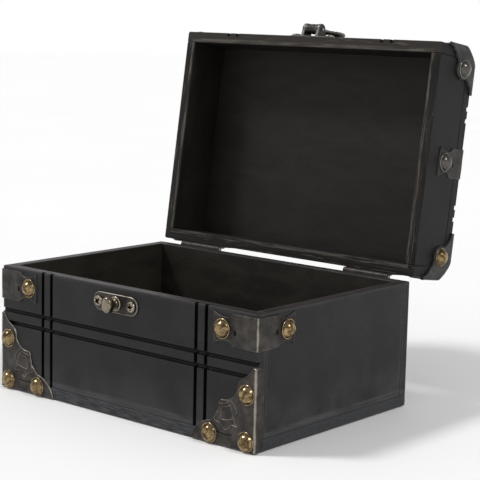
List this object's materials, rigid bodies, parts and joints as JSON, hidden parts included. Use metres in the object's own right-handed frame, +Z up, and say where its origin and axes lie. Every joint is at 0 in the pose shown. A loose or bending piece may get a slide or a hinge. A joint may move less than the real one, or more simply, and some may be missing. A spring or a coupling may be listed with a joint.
{
  "type": "treasure chest box",
  "caption": "Small black wooden treasure chest with an open hinged lid, bronze corner hardware, dome studs, a hasp tongue and a turn button.",
  "frame": {"origin": "centre of the base's underside", "axes": "+Z up, +X to the right seen from the latch side, -Y towards the latch side"},
  "size_m": [0.1898, 0.1897, 0.1992],
  "materials": {
    "painted_wood": "black stain, rubbed edges",
    "aged_bronze": "dark antique bronze, worn edges",
    "antique_gold": "antique gold, polished domes",
    "pale_brass": "pale brass plate",
    "bright_steel": "plain drawn wire"
  },
  "bodies": {
    "base": {"base_front_panel": "painted_wood", "base_back_panel": "painted_wood", "base_left_panel": "painted_wood", "base_right_panel": "painted_wood", "base_bottom_board": "painted_wood", "base_panel_brads": "bright_steel", "base_corner_plate_left": "aged_bronze", "base_corner_plate_right": "aged_bronze", "base_corner_plate_studs": "antique_gold", "base_strap_left": "aged_bronze", "base_strap_right": "aged_bronze", "base_strap_studs": "antique_gold", "latch_plate": "aged_bronze", "latch_screws": "pale_brass", "hinge_left_base_leaf": "aged_bronze", "hinge_right_base_leaf": "aged_bronze", "hinge_left_pin": "bright_steel", "hinge_right_pin": "bright_steel", "hinge_base_screws": "pale_brass"},
    "turn_button": {"turn_button": "pale_brass"},
    "lid": {"lid_front_wall": "painted_wood", "lid_back_wall": "painted_wood", "lid_left_wall": "painted_wood", "lid_right_wall": "painted_wood", "lid_top_board": "painted_wood", "lid_panel_brads": "bright_steel", "lid_corner_cap_front_left": "aged_bronze", "lid_corner_cap_back_left": "aged_bronze", "lid_corner_cap_front_right": "aged_bronze", "lid_corner_cap_back_right": "aged_bronze", "lid_corner_cap_studs": "antique_gold", "lid_side_strap_left": "aged_bronze", "lid_side_strap_right": "aged_bronze", "lid_side_strap_studs": "antique_gold", "hasp_plate": "aged_bronze", "hasp_screws": "pale_brass", "hasp_pin": "bright_steel", "hinge_left_lid_leaf": "aged_bronze", "hinge_right_lid_leaf": "aged_bronze", "hinge_lid_screws": "pale_brass"},
    "hasp_tongue": {"hasp_tongue": "aged_bronze"}
  },
  "joints": [
    {"name": "lid_hinge", "type": "hinge", "parent": "base", "child": "lid", "pos_m": [0, 0.06415, 0.06735], "axis": [1, 0, 0], "range_deg": [0, 98.5]},
    {"name": "hasp_hinge", "type": "hinge", "parent": "lid", "child": "hasp_tongue", "pos_m": [-0.0031, 0.09334, 0.19605], "axis": [1, 0, 0], "range_deg": [0, 188.1]},
    {"name": "button_turn", "type": "hinge", "parent": "base", "child": "turn_button", "pos_m": [-0.0031, -0.06225, 0.0588], "axis": [0, -1, 0], "range_deg": [0, 90]}
  ]
}
